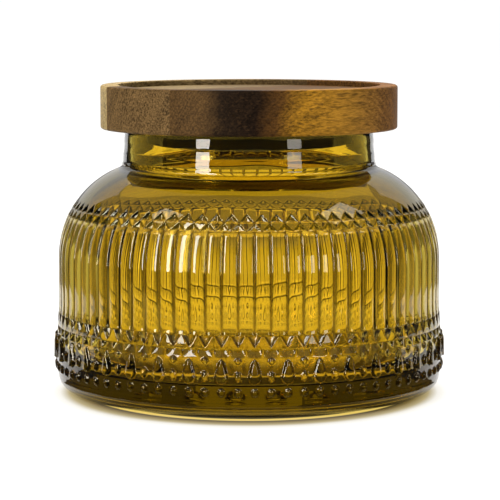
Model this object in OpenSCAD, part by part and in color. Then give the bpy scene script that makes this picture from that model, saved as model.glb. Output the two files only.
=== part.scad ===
// Empty candle jar: a pressed amber glass jar, a black silicone seal ring and
// an edge-glued acacia lid turned with a plug. Millimetres, +Z up, and the
// origin on the axis, in the plane that the foot stands on.

/* [Glass jar] */
// Outer radius over the crowns of the reeds
body_r = 57.6; // [56:0.1:59]
// Largest radius, at the middle of the beaded band
band_r = 58.9; // [58.7:0.1:60]
// Height of the middle of the beaded band
band_z = 15.5; // [15:0.1:16.5]
// Half of the height over which the band bulges
band_half_h = 8.9; // [8:0.1:9.5]
// Radius of the ring that the foot stands on
foot_contact_r = 53; // [51:0.5:53]
// Rounding between the foot and the wall
foot_round_r = 5; // [4:0.5:5]
// Height of the glass, up to the lip
glass_h = 78.5; // [76:0.5:84]
// Outer radius of the neck at the lip
neck_top_r = 37.4; // [36.6:0.1:38]
// Outer radius of the neck where it meets the shoulder
neck_foot_r = 38.3; // [37.6:0.1:39]
// Inner radius of the mouth and the neck
mouth_r = 35.4; // [34.8:0.1:35.6]
// Radius of the shoulder's arc
shoulder_arc_r = 28.7; // [27.5:0.1:29]
// Height at which the shoulder's arc leaves the straight wall
shoulder_z = 40; // [38:0.5:42]
// Thickness of the wall under its straight outline
wall_t = 3; // [2.8:0.1:4]
// Thickness of the glass in the middle of the bottom
bottom_t = 6.5; // [4:0.5:8]
// Depth of the push-up under the bottom
punt_h = 1.8; // [1:0.1:3]

/* [Lid] */
// Outer radius of the lid
lid_r = 44.7; // [43:0.1:48]
// Thickness of the lid's disc
lid_t = 13.1; // [11:0.1:16]
// Rounding of the lid's outer edges
lid_edge_r = 0.8; // [0.4:0.1:1.5]
// Width of the raised rim on top
rim_w = 5.2; // [4:0.1:8]
// Depth of the recess inside the rim
recess_h = 1.6; // [1:0.1:3]
// Radius of the plug under the disc
plug_r = 29.5; // [28:0.1:30.5]
// Length of the plug
plug_h = 4.9; // [4.6:0.1:8]
// Distance of each glue line from the axis: three staves of one width
glue_offset = 15; // [12:0.5:18]
// Direction of the grain, in degrees from the front towards the left
grain_azimuth = 50; // [0:1:90]

/* [Seal ring] */
// Thickness of the band round the plug
band_t = 1.5; // [1:0.1:2]
// Number of thin lips at the top of the band
lip_count = 2; // [1:1:2]
// Gap between the lips and the mouth
lip_clearance = 0.3; // [0.2:0.1:0.5]
// Thickness of one lip
lip_t = 0.4; // [0.3:0.1:0.5]

/* [Hidden] */
$fn = 128;
beyond = 200;

// Shoulder arc, tangent to the straight wall at shoulder_z
arc_x = body_r - shoulder_arc_r;

// Corner between the neck and the shoulder, eased by a small cone
corner_z = shoulder_z + sqrt(pow(shoulder_arc_r, 2) - pow(neck_foot_r - arc_x, 2));
corner_ease = 1.4;

// Beaded band: one long arc that bulges past the wall above it
bulge = band_r - body_r;
bulge_arc_r = (pow(band_half_h, 2) + pow(bulge, 2)) / (2 * bulge);
foot_wall_r = foot_contact_r + foot_round_r;

// Inside of the glass
inner_r = body_r - wall_t;
inner_arc_r = shoulder_arc_r - wall_t;
inner_floor_z = punt_h + bottom_t;
inner_corner_r = 8;
lip_ease = 1;

// Push-up: a flat recess with sloping sides inside the contact ring
punt_r = foot_contact_r - 2;
punt_slope = 6;

// Lid, seated just clear of the lip of the glass
lip_gap = 0.1;
lid_z = glass_h + lip_gap;
plug_z = lid_z - plug_h;
recess_r = lid_r - rim_w;

// Seal ring: a band round the plug, a tongue in the plug's groove, and the lips
seal_gap = 0.1;
seal_z = plug_z + seal_gap;
seal_h = lid_z - seal_gap - seal_z;
seal_bore_r = plug_r + seal_gap;
tongue_h = 1.8;
tongue_d = 1.5;
groove_h = tongue_h + 2 * seal_gap;
groove_z = seal_z + (seal_h - groove_h) / 2;
lip_tip_r = mouth_r - lip_clearance;
lip_pitch = 2 * lip_t;

// Half outline of an arc's segment that bulges past a straight wall
module bulge_2d() {
    intersection() {
        translate([band_r - bulge_arc_r, band_z]) circle(bulge_arc_r);
        translate([0, foot_round_r]) square([band_r + 1, band_z + band_half_h - foot_round_r + 1]);
    }
}

// Half outline of the push-up under the bottom
module punt_2d() {
    polygon([[0, 0], [punt_r, 0], [punt_r - punt_slope, punt_h], [0, punt_h]]);
}

// Small cone that eases the corner between the neck and the shoulder
module corner_2d() {
    polygon([
        [neck_foot_r - corner_ease, corner_z - corner_ease],
        [neck_foot_r + corner_ease, corner_z - 0.65 * corner_ease],
        [neck_foot_r - 0.2 * corner_ease, corner_z + corner_ease],
        [neck_foot_r - corner_ease, corner_z + corner_ease]
    ]);
}

// Half outline of the jar before it is hollowed
module jar_outer_2d() {
    square([foot_contact_r, glass_h / 2]);
    translate([foot_contact_r, foot_round_r]) circle(foot_round_r);
    translate([0, foot_round_r]) square([foot_wall_r, band_z - foot_round_r]);
    translate([0, foot_round_r]) square([body_r, shoulder_z - foot_round_r]);
    bulge_2d();
    intersection() {
        translate([arc_x, shoulder_z]) circle(shoulder_arc_r);
        translate([0, shoulder_z]) square(beyond);
    }
    corner_2d();
    polygon([
        [0, shoulder_z],
        [neck_foot_r, shoulder_z],
        [neck_foot_r, corner_z],
        [neck_top_r, glass_h - lip_ease],
        [neck_top_r - lip_ease, glass_h],
        [0, glass_h]
    ]);
}

// Half outline of the hollow, from its floor up through the mouth
module jar_hollow_2d() {
    translate([0, inner_floor_z]) square([inner_r - inner_corner_r, shoulder_z - inner_floor_z]);
    translate([0, inner_floor_z + inner_corner_r])
        square([inner_r, shoulder_z - inner_floor_z - inner_corner_r]);
    translate([inner_r - inner_corner_r, inner_floor_z + inner_corner_r]) circle(inner_corner_r);
    translate([arc_x, shoulder_z]) circle(inner_arc_r);
    translate([0, shoulder_z]) square([mouth_r, glass_h]);
}

module glass_jar() {
    color([0.72, 0.55, 0.08, 0.55])
    rotate_extrude() difference() {
        intersection() {
            jar_outer_2d();
            square(beyond);
        }
        jar_hollow_2d();
        punt_2d();
    }
}

module seal_ring() {
    color([0.06, 0.06, 0.065])
    rotate_extrude() {
        translate([seal_bore_r, seal_z]) square([band_t, seal_h]);
        translate([seal_bore_r - tongue_d, groove_z + seal_gap]) square([tongue_d + band_t, tongue_h]);
        for (i = [0 : lip_count - 1])
            translate([seal_bore_r, seal_z + seal_h - lip_t - i * lip_pitch])
                square([lip_tip_r - seal_bore_r, lip_t]);
    }
}

// Half outline of the whole turned lid
module lid_2d() {
    difference() {
        union() {
            translate([0, lid_z]) square([lid_r - lid_edge_r, lid_t]);
            translate([0, lid_z + lid_edge_r]) square([lid_r, lid_t - 2 * lid_edge_r]);
            for (z = [lid_z + lid_edge_r, lid_z + lid_t - lid_edge_r])
                translate([lid_r - lid_edge_r, z]) circle(lid_edge_r);
            translate([0, plug_z]) square([plug_r, plug_h + 1]);
        }
        translate([0, lid_z + lid_t - recess_h]) square([recess_r, recess_h + 1]);
        translate([seal_bore_r - tongue_d - seal_gap, groove_z]) square([beyond, groove_h]);
    }
}

// The share of the turning that lies between two offsets from the axis
module stave(from_y, to_y) {
    intersection() {
        rotate_extrude() lid_2d();
        rotate(-90 - grain_azimuth) translate([-beyond / 2, from_y, 0]) cube([beyond, to_y - from_y, beyond]);
    }
}

module lid_stave_left() {
    color([0.62, 0.5, 0.3]) stave(-beyond / 2, -glue_offset);
}

module lid_stave_middle() {
    color([0.56, 0.41, 0.22]) stave(-glue_offset, glue_offset);
}

module lid_stave_right() {
    color([0.55, 0.36, 0.14]) stave(glue_offset, beyond / 2);
}

glass_jar();
seal_ring();
lid_stave_left();
lid_stave_middle();
lid_stave_right();
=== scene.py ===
"""Looks of the empty candle jar: reeded amber glass, a turned acacia lid and a black seal ring."""
import math

import bpy
import numpy as np
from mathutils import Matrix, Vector


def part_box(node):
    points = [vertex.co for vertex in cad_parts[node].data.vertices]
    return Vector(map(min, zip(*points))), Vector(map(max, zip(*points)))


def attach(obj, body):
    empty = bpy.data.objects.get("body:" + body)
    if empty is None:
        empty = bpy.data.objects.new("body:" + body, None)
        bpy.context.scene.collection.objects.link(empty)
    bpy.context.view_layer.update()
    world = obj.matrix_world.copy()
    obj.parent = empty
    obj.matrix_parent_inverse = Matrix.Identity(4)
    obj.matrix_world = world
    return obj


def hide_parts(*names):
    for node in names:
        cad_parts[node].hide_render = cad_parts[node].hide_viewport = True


MM = 0.001

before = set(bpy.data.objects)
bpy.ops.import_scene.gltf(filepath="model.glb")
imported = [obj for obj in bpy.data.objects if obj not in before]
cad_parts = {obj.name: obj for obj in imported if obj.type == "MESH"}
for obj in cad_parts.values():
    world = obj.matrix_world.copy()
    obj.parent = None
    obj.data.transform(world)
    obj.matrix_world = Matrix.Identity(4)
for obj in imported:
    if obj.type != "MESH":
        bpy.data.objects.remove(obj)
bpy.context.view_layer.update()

# ---------------------------------------------------------------- the jar, in metres
LIP_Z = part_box("glass_jar")[1][2]
BODY_R = 57.6 * MM
SWELL = 0.4 * MM
FOOT_R = 53 * MM
FOOT_ROUND = 5 * MM
NECK_TOP_R = 37.4 * MM
NECK_FOOT_R = 38.3 * MM
MOUTH_R = 35.4 * MM
SHOULDER_R = 28.7 * MM
SHOULDER_Z = 40 * MM
WALL = 3 * MM
BOTTOM = 6.5 * MM
PUNT_H = 1.8 * MM
PUNT_R = FOOT_R - 2 * MM
INNER_CORNER_R = 8 * MM
SHOULDER_X = BODY_R - SHOULDER_R

# The pressed ornament: reeds, and what closes them above and below
REEDS = 78
FIRST_VALLEY = math.radians(1.6)
PITCH = 2 * math.pi * BODY_R / REEDS
REED_DEPTH = 0.7 * MM
REED_TOP = 52.9 * MM
REED_FOOT = 23.8 * MM
VALLEY_ARROW_TIP = REED_TOP + 2 * MM
CROWN_ARROW_FOOT, CROWN_ARROW_TIP = 55.2 * MM, 57.4 * MM
LOW_ARROW_TIP = 20.5 * MM
SCOOP_FOOT, SCOOP_TOP = 17.7 * MM, 19.9 * MM
DROP_HALF_W = 1.9 * MM
DROP_WIDEST = 12.0 * MM
DROP_TIP = 17.1 * MM
# Where the columns of the mesh stand in half a reed, from the valley to the crown
COLUMNS = (0, 0.05, 0.11, 0.19, 0.30, 0.45, 0.60, 0.72, 0.80, 0.90)

_, (LID_R, _, LID_TOP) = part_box("lid_stave_middle")
GRAIN = math.radians(140)


def srgb(red, green, blue):
    """A display colour, 0 to 255 a channel, as linear light."""
    channels = [c / 255 for c in (red, green, blue)]
    return tuple(((c + 0.055) / 1.055) ** 2.4 if c > 0.04 else c / 12.92 for c in channels)


# ---------------------------------------------------------------- glass
def smooth(x, lo, hi):
    """A smooth step from 0 at lo to 1 at hi. lo may be the greater one, and the step then falls."""
    t = np.clip((x - lo) / (hi - lo), 0, 1)
    return t * t * (3 - 2 * t)


def dome(x):
    """Height of a round cap, 1 in the middle and 0 from x = 1 on."""
    return np.sqrt(np.clip(1 - x * x, 0, 1))


def tent(x):
    """Height of a ridge with straight sides, 1 in the middle and 0 from x = 1 on."""
    return np.clip(1 - np.abs(x), 0, 1)


def arc(cx, cz, r, from_deg, to_deg, steps):
    """Points of the half outline on an arc, both ends in."""
    angles = np.radians(np.linspace(from_deg, to_deg, steps + 1))
    return [(cx + r * math.cos(a), cz + r * math.sin(a)) for a in angles]


def plain_radius(z):
    """Outer radius before the ornament, between the foot and the top of the shoulder."""
    if z > SHOULDER_Z:
        return SHOULDER_X + math.sqrt(SHOULDER_R**2 - (z - SHOULDER_Z) ** 2)
    wall = FOOT_R + FOOT_ROUND + (BODY_R - FOOT_R - FOOT_ROUND) * smooth(z, 6 * MM, REED_FOOT)
    return wall + SWELL * smooth(z, REED_FOOT + 3 * MM, 20 * MM) * smooth(z, 3 * MM, 11 * MM)


def arrowheads(off, half_w, left, depth):
    """A row of pointed notches at one height. left is 1 at their straight edge and 0 at their tips."""
    return -depth * left**0.5 * np.sqrt(tent(off / (half_w * left + 1e-9)))


def relief(u, z):
    """Height of the ornament over the plain jar. u counts the valleys between the reeds."""
    half = PITCH / 2
    side = (u - np.round(u)) * PITCH
    from_crown = half - np.abs(side)
    drops = np.round(u).astype(int) % 2 == 0
    everywhere = np.ones(u.shape, bool)

    if REED_FOOT <= z < REED_TOP:
        off_crown = from_crown / half
        return -REED_DEPTH * (0.3 * off_crown**2 + 0.7 * off_crown**7)
    if REED_TOP <= z < VALLEY_ARROW_TIP:  # arrowheads that close the valleys
        left = (VALLEY_ARROW_TIP - z) / (VALLEY_ARROW_TIP - REED_TOP)
        return arrowheads(side, 0.95 * half, left, 1.2 * REED_DEPTH)
    if CROWN_ARROW_FOOT <= z < CROWN_ARROW_TIP:  # smaller ones over the crowns
        left = (CROWN_ARROW_TIP - z) / (CROWN_ARROW_TIP - CROWN_ARROW_FOOT)
        return arrowheads(from_crown, 0.9 * half, left, 1.0 * MM)
    if LOW_ARROW_TIP <= z < REED_FOOT:  # arrowheads below the reeds
        left = (z - LOW_ARROW_TIP) / (REED_FOOT - LOW_ARROW_TIP)
        return arrowheads(side, 0.86 * half, left, 1.4 * MM)
    if SCOOP_FOOT <= z < SCOOP_TOP:  # scoops under a straight edge
        return -1.1 * MM * (z - SCOOP_FOOT) / (SCOOP_TOP - SCOOP_FOOT) * dome(side / (0.9 * half))

    height = np.zeros(u.shape)
    if DROP_WIDEST - DROP_HALF_W < z < DROP_TIP:  # raised drops, round below and pointed above
        if z < DROP_WIDEST:
            width = DROP_HALF_W * dome((DROP_WIDEST - z) / DROP_HALF_W)
        else:
            width = DROP_HALF_W * ((DROP_TIP - z) / (DROP_TIP - DROP_WIDEST)) ** 0.55
        drop = 1.0 * MM * min(width / MM, 1) ** 0.5 * dome(side / max(width, 1e-9))
        height = np.where(drops, drop, height)
    for where, mid, half_w, half_h, tall in (  # beads between the drops, over them and in the lowest row
        (~drops, 12.3 * MM, 1.0 * MM, 1.55 * MM, 0.85 * MM),
        (~drops, 16.7 * MM, 0.85 * MM, 0.95 * MM, 0.75 * MM),
        (everywhere, 7.7 * MM, 0.95 * MM, 1.3 * MM, 0.75 * MM),
    ):
        bead = tall * dome(np.hypot(side / half_w, (z - mid) / half_h))
        height = np.where(where & (bead > 0), bead, height)
    return height


def ripple(theta, z):
    """Unevenness of the inside, as left by the plunger and by the fire polish."""
    wave = np.sin(5 * theta + z / (9 * MM))
    wave += np.sin(8 * theta - z / (6 * MM) + 2)
    wave += np.sin(13 * theta + z / (4 * MM))
    return 0.03 * MM * wave


def neck_wave(z):
    """Shallow ring round the neck, on both of its faces, where the two halves of the mould met."""
    return -0.12 * MM * dome((z - 73 * MM) / (1.7 * MM)) ** 2


def glass_rows(theta):
    """Rings of the glass, each as (radii, height): up the inside, over the lip, down the outside."""
    inner_r = BODY_R - WALL
    inner_arc = SHOULDER_R - WALL
    floor = PUNT_H + BOTTOM
    throat = 2.2 * MM
    throat_x = MOUTH_R + throat
    throat_z = SHOULDER_Z + math.sqrt((inner_arc - throat) ** 2 - (throat_x - SHOULDER_X) ** 2)
    throat_deg = math.degrees(math.atan2(throat_z - SHOULDER_Z, throat_x - SHOULDER_X))
    inside = [(r * MM, floor) for r in (2, 15, 30, 42)]
    inside += arc(inner_r - INNER_CORNER_R, floor + INNER_CORNER_R, INNER_CORNER_R, -85, 0, 16)
    inside += [(inner_r, z) for z in np.linspace(floor + 10 * MM, SHOULDER_Z - 1 * MM, 10)]
    inside += arc(SHOULDER_X, SHOULDER_Z, inner_arc, 0, throat_deg - 1, 24)
    inside += arc(throat_x, throat_z, throat, throat_deg, 180, 12)
    inside += [(MOUTH_R + neck_wave(z), z)
               for z in np.arange(throat_z + 0.8 * MM, LIP_Z - 1.5 * MM, 0.4 * MM)]
    rows = [(r + ripple(theta, z) * min(r / inner_r, 1), z) for r, z in inside]

    corner_r = 1.5 * MM
    corner_x = NECK_FOOT_R + corner_r
    corner_z = SHOULDER_Z + math.sqrt((SHOULDER_R + corner_r) ** 2 - (corner_x - SHOULDER_X) ** 2)
    corner_deg = math.degrees(math.atan2(corner_z - SHOULDER_Z, corner_x - SHOULDER_X))
    lip = 0.9 * MM
    neck = arc(MOUTH_R + lip, LIP_Z - lip, lip, 180, 90, 6)
    neck += arc(NECK_TOP_R - lip, LIP_Z - lip, lip, 90, 4, 8)
    neck += [(NECK_TOP_R + (LIP_Z - z) / 15 + neck_wave(z), z)
             for z in np.arange(LIP_Z - 2.5 * MM, corner_z + 0.6 * MM, -0.4 * MM)]
    neck += arc(corner_x, corner_z, corner_r, 176, 180 + corner_deg, 10)
    rows += [(np.full(theta.shape, r), z) for r, z in neck]

    u = (theta - FIRST_VALLEY) * REEDS / (2 * math.pi)
    shoulder_top = neck[-1][1] - 0.4 * MM
    heights = []
    for start, stop, step in (  # down the outside, in finer steps where the ornament is
        (shoulder_top, 58 * MM, 0.8 * MM),
        (58 * MM, 52.5 * MM, 0.22 * MM),
        (52.5 * MM, 40 * MM, 1.2 * MM),
        (40 * MM, 25 * MM, 3.0 * MM),
        (25 * MM, 5.2 * MM, 0.2 * MM),
    ):
        heights += list(np.arange(start, stop, -step))
    rows += [(plain_radius(z) + relief(u, z), z) for z in heights]

    foot = arc(FOOT_R, FOOT_ROUND, FOOT_ROUND, 0, -90, 18)
    foot += [(PUNT_R, 0.05 * MM), (PUNT_R - 3 * MM, PUNT_H / 2), (PUNT_R - 6 * MM, PUNT_H - 0.1 * MM)]
    foot += [(r * MM, PUNT_H) for r in (40, 20, 2)]
    rows += [(np.full(theta.shape, r), z) for r, z in foot]
    return rows


def lathe(name, rows, theta):
    """A closed turned skin through the rings, with a pole in the middle of its first and last ring."""
    n, m = len(rows), len(theta)
    rings = [np.stack([r * np.sin(theta), -r * np.cos(theta), np.full(m, z)], 1) for r, z in rows]
    verts = np.concatenate(rings + [[(0, 0, rows[0][1]), (0, 0, rows[-1][1])]])
    here = np.arange(m)
    after = (here + 1) % m
    ring = np.arange(n - 1)[:, None] * m
    quads = np.stack([ring + here, ring + m + here, ring + m + after, ring + after], -1).reshape(-1, 4)
    last = (n - 1) * m
    first_fan = np.stack([np.full(m, n * m), here, after], -1)
    last_fan = np.stack([last + here, np.full(m, n * m + 1), last + after], -1)
    mesh = bpy.data.meshes.new(name)
    mesh.from_pydata(verts.tolist(), [], quads.tolist() + first_fan.tolist() + last_fan.tolist())
    mesh.polygons.foreach_set("use_smooth", np.ones(len(mesh.polygons), bool))
    ob = bpy.data.objects.new(name, mesh)
    bpy.context.collection.objects.link(ob)
    return ob


def painted_flank_shade_amount(rows, theta):
    """How much painted shade each point gets, ring by ring: 0 on smooth glass and 0.8 on steep flanks,
    which are drawn darker for the dark outlines that refraction gives there.
    """
    radii = np.array([r for r, _ in rows])
    z = np.array([z for _, z in rows])
    heights = radii - radii.mean(axis=1, keepdims=True)
    spacing = BODY_R * ((np.roll(theta, -1) - theta) % (2 * math.pi))
    across = np.abs(np.roll(heights, -1, 1) - heights) / spacing
    across = np.maximum(across, np.roll(across, 1, 1))
    along = np.abs(np.diff(heights, axis=0)) / np.maximum(np.abs(np.diff(z)), 0.15 * MM)[:, None]
    along = np.maximum(np.pad(along, ((0, 1), (0, 0))), np.pad(along, ((1, 0), (0, 0))))
    return 0.8 * smooth(np.maximum(across, along), 0.35, 1.2)


def make_glass():
    """The pressed jar, which takes the place of the plain one."""
    half = np.array(COLUMNS) / 2
    one_reed = np.concatenate([half, [0.5], 1 - half[:0:-1]])
    theta = FIRST_VALLEY + (np.arange(REEDS)[:, None] + one_reed).ravel() * 2 * math.pi / REEDS
    rows = glass_rows(theta)
    glass = lathe("jar_glass", rows, theta)
    # painted shade: the steep flanks of the ornament are drawn darker, for the dark outlines that
    # refraction gives
    painted_flank_shade = glass.data.attributes.new("painted_flank_shade", "FLOAT", "POINT")
    painted_flank_shade.data.foreach_set("value", np.append(painted_flank_shade_amount(rows, theta).ravel(), [0, 0]))
    glass.data.materials.append(amber_glass())
    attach(glass, "jar")
    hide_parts("glass_jar")


# ---------------------------------------------------------------- materials
class Graph:
    """One material, with short calls that add nodes to it and link them."""

    def __init__(self, name):
        self.mat = bpy.data.materials.new(name)
        self.mat.use_nodes = True
        self.tree = self.mat.node_tree
        self.bsdf = self.tree.nodes["Principled BSDF"]

    def put(self, node, socket, value):
        """Links the value to the socket, or sets it there if it is a plain number."""
        if isinstance(value, bpy.types.NodeSocket):
            self.tree.links.new(value, node.inputs[socket])
        elif value is not None:
            node.inputs[socket].default_value = value

    def math(self, operation, a, b=None):
        node = self.tree.nodes.new("ShaderNodeMath")
        node.operation = operation
        self.put(node, 0, a)
        self.put(node, 1, b)
        return node.outputs[0]

    def hypot(self, a, b):
        """The length of the vector (a, b)."""
        return self.math("SQRT", self.math("ADD", self.math("MULTIPLY", a, a), self.math("MULTIPLY", b, b)))

    def place(self, angle=0.0):
        """x, y and z in the object's own frame, turned about Z."""
        co = self.tree.nodes.new("ShaderNodeTexCoord")
        turn = self.tree.nodes.new("ShaderNodeVectorRotate")
        turn.rotation_type = "Z_AXIS"
        turn.inputs["Angle"].default_value = angle
        self.tree.links.new(co.outputs["Object"], turn.inputs["Vector"])
        split = self.tree.nodes.new("ShaderNodeSeparateXYZ")
        self.tree.links.new(turn.outputs[0], split.inputs[0])
        return split.outputs

    def noise(self, at, scales, detail=2.0, rough=0.5):
        """Noise with its own scale along each axis, in features a metre."""
        join = self.tree.nodes.new("ShaderNodeCombineXYZ")
        for k in range(3):
            self.put(join, k, self.math("MULTIPLY", at[k], scales[k]))
        node = self.tree.nodes.new("ShaderNodeTexNoise")
        self.tree.links.new(join.outputs[0], node.inputs["Vector"])
        node.inputs["Scale"].default_value = 1.0
        node.inputs["Detail"].default_value = detail
        node.inputs["Roughness"].default_value = rough
        return node.outputs["Fac"]

    def span(self, value, lo, hi, to_lo=0.0, to_hi=1.0):
        """Carries lo..hi over to to_lo..to_hi with a smooth step, and holds the ends."""
        node = self.tree.nodes.new("ShaderNodeMapRange")
        node.interpolation_type = "SMOOTHSTEP"
        self.put(node, "Value", value)
        for socket, number in zip(("From Min", "From Max", "To Min", "To Max"), (lo, hi, to_lo, to_hi)):
            node.inputs[socket].default_value = number
        return node.outputs[0]

    def ramp(self, value, stops):
        """A colour from stops given as (place from 0 to 1, colour)."""
        node = self.tree.nodes.new("ShaderNodeValToRGB")
        self.put(node, 0, value)
        band = node.color_ramp
        while len(band.elements) < len(stops):
            band.elements.new(0.5)
        for element, (place, colour) in zip(band.elements, stops):
            element.position = place
            element.color = (*colour, 1)
        return node.outputs[0]

    def mix(self, fac, a, b, blend="MIX"):
        node = self.tree.nodes.new("ShaderNodeMix")
        node.data_type = "RGBA"
        node.blend_type = blend
        self.put(node, 0, fac)
        for socket, value in ((6, a), (7, b)):
            self.put(node, socket, (*value, 1) if isinstance(value, tuple) else value)
        return node.outputs[2]

    def bump(self, height, strength, distance):
        node = self.tree.nodes.new("ShaderNodeBump")
        node.inputs["Strength"].default_value = strength
        node.inputs["Distance"].default_value = distance
        self.tree.links.new(height, node.inputs["Height"])
        self.tree.links.new(node.outputs[0], self.bsdf.inputs["Normal"])


def amber_glass():
    """Amber glass. Its colour lies mostly at its surface, so that thick places keep nearly the same hue. On
    the steep flanks of the ornament the colour is darkened as painted shade.
    """
    g = Graph("amber_glass")
    painted_flank_shade = g.tree.nodes.new("ShaderNodeAttribute")
    painted_flank_shade.attribute_name = "painted_flank_shade"
    # painted shade: dark brown on the steep flanks, for the dark outlines that refraction draws in the
    # ornament
    g.put(g.bsdf, "Base Color", g.mix(painted_flank_shade.outputs["Fac"], (0.84, 0.66, 0.135), (0.14, 0.065, 0.01)))
    g.bsdf.inputs["Roughness"].default_value = 0.0
    g.bsdf.inputs["IOR"].default_value = 1.52
    g.bsdf.inputs["Transmission Weight"].default_value = 1.0
    body = g.tree.nodes.new("ShaderNodeVolumeAbsorption")
    body.inputs["Color"].default_value = (0.775, 0.725, 0.2, 1)
    body.inputs["Density"].default_value = 60
    g.tree.links.new(body.outputs[0], g.tree.nodes["Material Output"].inputs["Volume"])
    return g.mat


def acacia(name, along, tilt, figure, fleck):
    """Oiled acacia, with painted shade in the recess under the lid's top.

    along gives its colours down the grain, as (place in lid radii from -1 to 1, colour). tilt is the slope
    of the growth layers on the end grain, figure is how much the layers wave, and fleck is how much the
    fibres differ in tone.
    """
    g = Graph(name)
    u, v, w = g.place(GRAIN)
    curl = g.math("SUBTRACT", g.noise((u, v, w), (170, 60, 90), 2), 0.5)
    cloud = g.math("SUBTRACT", g.noise((u, v, w), (30, 75, 75), 3), 0.5)
    layer = g.math("ADD", g.math("MULTIPLY", v, math.sin(tilt)), g.math("MULTIPLY", w, math.cos(tilt)))
    layer = g.math("ADD", layer, g.math("MULTIPLY", curl, figure))
    lines = g.noise((u, layer, v), (60, 2000, 60), 3, 0.6)
    speckle = g.noise((u, v, w), (300, 1900, 1900), 4, 0.7)
    pores = g.span(g.noise((u, v, w), (150, 1300, 1300), 1), 0.60, 0.68)

    place = g.math("ADD", g.math("MULTIPLY", u, 0.5 / LID_R), g.math("MULTIPLY", cloud, 0.12))
    colour = g.ramp(g.math("ADD", place, 0.5), [((p + 1) / 2, c) for p, c in along])
    from_lines = g.span(lines, 0.3, 0.7, 0.75, 1.2)
    from_fibres = g.span(speckle, 0.3, 0.7, -fleck, 1.1 * fleck)
    shade = g.math("ADD", from_lines, from_fibres)
    shade = g.math("ADD", shade, g.math("MULTIPLY", cloud, 0.7))
    grey = g.tree.nodes.new("ShaderNodeCombineColor")
    for k in range(3):
        g.put(grey, k, shade)
    colour = g.mix(1.0, colour, grey.outputs[0], "MULTIPLY")
    colour = g.mix(g.math("MULTIPLY", pores, 0.4), colour, srgb(60, 42, 24))
    # painted shade: below the rim and within 40 mm of the axis the wood is mixed halfway to a dark brown,
    # for the shade that falls in the recess
    below_rim = g.span(w, LID_TOP - 0.5 * MM, LID_TOP - 0.2 * MM, 1, 0)
    within_recess_radius = g.span(g.hypot(u, v), 40 * MM, 42 * MM, 1, 0)
    recess_painted_shade = g.math("MULTIPLY", below_rim, within_recess_radius)
    colour = g.mix(g.math("MULTIPLY", recess_painted_shade, 0.5), colour, srgb(46, 30, 14))
    g.put(g.bsdf, "Base Color", colour)
    g.put(g.bsdf, "Roughness", g.span(speckle, 0.2, 0.8, 0.42, 0.6))
    g.bsdf.inputs["Specular IOR Level"].default_value = 0.05
    g.bump(g.math("SUBTRACT", speckle, g.math("MULTIPLY", pores, 0.8)), 0.3, 0.1 * MM)
    return g.mat


def silicone():
    """Black silicone with a trace of dust."""
    g = Graph("silicone_black")
    dust = g.noise(g.place(), (900, 900, 900), 4)
    g.put(g.bsdf, "Base Color", g.mix(g.span(dust, 0.35, 0.75), srgb(8, 8, 8), srgb(16, 15, 15)))
    g.put(g.bsdf, "Roughness", g.span(dust, 0.3, 0.7, 0.42, 0.6))
    g.bsdf.inputs["Specular IOR Level"].default_value = 0.3
    g.bump(dust, 0.2, 0.03 * MM)
    return g.mat


def give(node, material):
    """Puts the material on every slot of a CAD node."""
    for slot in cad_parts[node].material_slots:
        slot.material = material


def dress_lid():
    """The three staves of the lid, pale, tan and dark, and the seal under it."""
    pale = srgb(150, 131, 90)
    tan = srgb(90, 70, 42)
    give("lid_stave_left", acacia(
        "acacia_left",
        [(-1, tan), (0, pale), (1, pale)],
        math.radians(70), 0.8 * MM, 0.6))
    give("lid_stave_middle", acacia(
        "acacia_middle",
        [(-1, srgb(100, 70, 34)), (0, srgb(104, 78, 40)), (0.75, srgb(80, 60, 32)), (1, tan)],
        math.radians(-60), 0.6 * MM, 0.7))
    give("lid_stave_right", acacia(
        "acacia_right",
        [(-1, srgb(112, 74, 36)), (-0.35, srgb(114, 78, 36)), (0, srgb(140, 100, 34)),
         (0.35, srgb(146, 104, 26)), (0.52, srgb(76, 50, 19)), (0.66, srgb(28, 18, 10)),
         (0.82, srgb(32, 22, 12)), (0.93, srgb(74, 54, 28))],
        math.radians(-60), 1.1 * MM, 0.5))
    give("seal_ring", silicone())


# ---------------------------------------------------------------- studio
def plain(name, albedo, glow):
    """A matt grey that also gives off light of its own."""
    g = Graph(name)
    g.bsdf.inputs["Base Color"].default_value = (albedo, albedo, albedo, 1)
    g.bsdf.inputs["Roughness"].default_value = 0.9
    g.bsdf.inputs["Specular IOR Level"].default_value = 0.0
    g.bsdf.inputs["Emission Color"].default_value = (1, 1, 1, 1)
    g.bsdf.inputs["Emission Strength"].default_value = glow
    return g.mat


def fading_white():
    """A white glow that fades with the distance behind the jar."""
    g = Graph("fading_white")
    _, y, _ = g.place()
    g.bsdf.inputs["Base Color"].default_value = (0, 0, 0, 1)
    g.bsdf.inputs["Specular IOR Level"].default_value = 0.0
    g.bsdf.inputs["Emission Color"].default_value = (1, 1, 1, 1)
    g.put(g.bsdf, "Emission Strength", g.span(y, 0.32, 0.52, 1.0, 0.35))
    return g.mat


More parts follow.
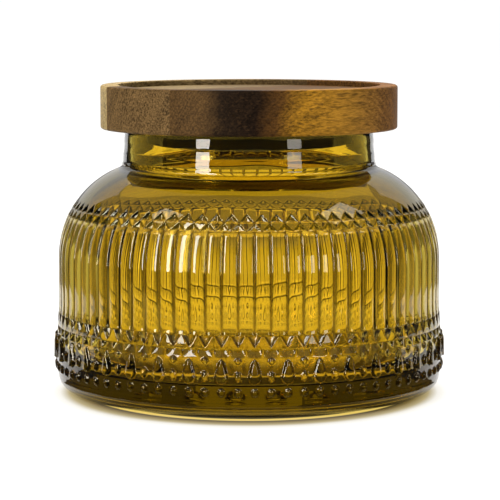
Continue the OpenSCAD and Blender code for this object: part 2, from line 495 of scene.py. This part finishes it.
def glowing_floor():
    """A white floor that glows, with the warm shadow round the foot and the light that the jar gathers."""
    g = Graph("floor_white")
    x, y, _ = g.place()
    towards_camera = g.math("ADD", y, 6 * MM)
    away = g.hypot(g.math("MULTIPLY", x, 1.07), towards_camera)
    reach = 80 * MM
    rings = (
        (53 * MM, (0.04, 0.03, 0.01)),
        (55 * MM, (0.20, 0.14, 0.04)),
        (58 * MM, (0.44, 0.36, 0.18)),
        (61 * MM, (0.86, 0.84, 0.78)),
        (66 * MM, (1, 1, 1)),
    )
    glow = g.ramp(g.math("DIVIDE", away, reach), [(r / reach, colour) for r, colour in rings])
    band = g.math("MULTIPLY", g.span(away, 49 * MM, 50.2 * MM), g.span(away, 51.7 * MM, 53 * MM, 1, 0))
    rim = g.math("MULTIPLY", band, g.span(y, -30 * MM, -10 * MM, 1, 0))
    glow = g.mix(rim, glow, (0.8, 0.58, 0.13))
    disc = g.span(away, 34 * MM, 38 * MM, 1, 0)
    under = g.math("MULTIPLY", disc, g.span(y, -22 * MM, 15 * MM, 0.1, 1.0))
    glow = g.mix(under, glow, (1.15, 1.0, 0.45))
    g.bsdf.inputs["Base Color"].default_value = (0.12, 0.12, 0.12, 1)
    g.bsdf.inputs["Roughness"].default_value = 0.9
    g.bsdf.inputs["Specular IOR Level"].default_value = 0.0
    g.put(g.bsdf, "Emission Color", glow)
    g.bsdf.inputs["Emission Strength"].default_value = 1.0
    return g.mat


def wall(name, start, stop, away, low, top, material):
    """An upright bent card. Its azimuths, in degrees, run from behind the jar to the right."""
    steps = 12
    angles = [math.radians(start + (stop - start) * k / steps) for k in range(steps + 1)]
    verts = [(away * math.sin(a), away * math.cos(a), z) for z in (low, top) for a in angles]
    faces = [(k, k + 1, steps + 2 + k, steps + 1 + k) for k in range(steps)]
    return stage_mesh(name, verts, faces, material)


def sector(name, near, far, start, stop, material):
    """A flat piece of a ring on the floor. Its azimuths run like those of a wall."""
    steps = 12
    angles = [math.radians(start + (stop - start) * k / steps) for k in range(steps + 1)]
    verts = [(r * math.sin(a), r * math.cos(a), 0) for r in (near, far) for a in angles]
    faces = [(k, k + 1, steps + 2 + k, steps + 1 + k) for k in range(steps)]
    return stage_mesh(name, verts, faces, material)


def flag(side, material):
    """A card on the floor behind the jar, on the left (-1) or on the right (1)."""
    corners = [(side * 0.065, 0.1, 0), (side * 0.13, 0.9, 0), (side * 0.6, 0.9, 0), (side * 0.13, 0.1, 0)]
    return stage_mesh("flag", corners, [(0, 1, 2, 3)], material)


def stage_mesh(name, verts, faces, material):
    """A card of the stage, which is no part of the object."""
    mesh = bpy.data.meshes.new(name)
    mesh.from_pydata(verts, [], faces)
    mesh.materials.append(material)
    ob = bpy.data.objects.new(name, mesh)
    bpy.context.collection.objects.link(ob)
    return ob


def seen_only(ob, through_glass, mirrored):
    """Keeps a card out of the picture itself and out of the floor's light."""
    ob.visible_camera = False
    ob.visible_diffuse = False
    ob.visible_shadow = False
    ob.visible_transmission = through_glass
    ob.visible_glossy = mirrored


def softbox(name, azimuth, elevation, distance, width, height, power, in_glass=True):
    """A rectangular lamp that looks at the jar. Azimuth 0 is the camera's side, 90 the right.
    in_glass says whether the glass shows the lamp itself."""
    a, e = math.radians(azimuth), math.radians(elevation)
    away = Vector((math.sin(a) * math.cos(e), -math.cos(a) * math.cos(e), math.sin(e)))
    data = bpy.data.lights.new(name, "AREA")
    data.shape = "RECTANGLE"
    data.size, data.size_y = width, height
    data.energy = power
    data.color = (1, 0.93, 0.82)
    ob = bpy.data.objects.new(name, data)
    ob.location = Vector((0, 0, 50 * MM)) + away * distance
    ob.visible_transmission = in_glass
    ob.visible_glossy = in_glass
    ob.rotation_mode = "QUATERNION"
    ob.rotation_quaternion = (-away).to_track_quat("-Z", "Y")
    bpy.context.collection.objects.link(ob)


def studio():
    """The floor, the cards that the glass shows or mirrors, and the lamps."""
    floor = sector("floor", 0.0, 60, 0, 360, glowing_floor())
    floor.location.z = -0.1 * MM
    black = plain("card_black", 0.03, 0.0)
    grey = plain("card_grey", 0.0, 0.8)
    sheen = plain("sheen", 0.0, 0.8)
    fade = fading_white()

    for card in (
        wall("backdrop_dim", -9, 9, 0.8, 0, 0.9, plain("backdrop_grey", 0.0, 0.65)),
        wall("low_grey", -9, 9, 0.79, 0, 0.08, fade),
        wall("side_flag", -9, -40, 0.9, 0.3, 0.9, black),
        sector("far_grey", 0.2, 0.8, -9, 9, fade),
        sector("far_cloth", 0.28, 3, 95, 265, black),
        sector("grey_left", 0.07, 3, -36, -90, grey),
        sector("grey_right", 0.07, 3, 36, 90, grey),
        flag(-1, black),
        flag(1, black),
    ):
        seen_only(card, through_glass=True, mirrored=False)
    for card in (
        wall("backdrop", -9, 9, 0.8, 0, 0.9, plain("backdrop_white", 0.0, 1.0)),
        wall("sheen_left", -9, -45, 0.9, 0.12, 0.7, sheen),
        wall("sheen_right", 9, 45, 0.9, 0.12, 0.7, sheen),
        wall("dark_wall", 32, 328, 1.5, 0, 0.8, black),
        sector("near_cloth", 0.062, 0.28, 93, 267, black),
        sector("side_cloth", 0.28, 3, 32, 328, black),
    ):
        seen_only(card, through_glass=False, mirrored=True)

    world = bpy.data.worlds.new("studio")
    bpy.context.scene.world = world
    world.use_nodes = True
    world.node_tree.nodes["Background"].inputs["Color"].default_value = (1, 1, 1, 1)
    world.node_tree.nodes["Background"].inputs["Strength"].default_value = 0.2

    softbox("back_light", 180, 50, 1.0, 0.8, 0.4, 24, in_glass=False)
    softbox("softbox_left", -42, 24, 1.2, 0.28, 1.2, 15)
    softbox("softbox_right", 84, 50, 1.2, 0.5, 0.3, 1.5)
    softbox("softbox_upper_left", -75, 50, 1.2, 0.3, 0.3, 1.0)
    softbox("softbox_low", 41, 6, 1.2, 0.28, 0.4, 1.8)


def camera():
    """Level with the lid's top, far enough off for a long lens, and tilted a little down."""
    data = bpy.data.cameras.new("camera")
    cam = bpy.data.objects.new("camera", data)
    bpy.context.collection.objects.link(cam)
    cam.location = (0.0003, -0.692, 0.1194)
    cam.rotation_euler = (math.radians(90 - 6.42), 0, 0)
    data.sensor_width = 36
    data.lens = 165.2
    data.clip_start, data.clip_end = 0.01, 100
    bpy.context.scene.camera = cam
    bpy.context.scene.view_settings.view_transform = "Standard"


make_glass()
dress_lid()
studio()
camera()
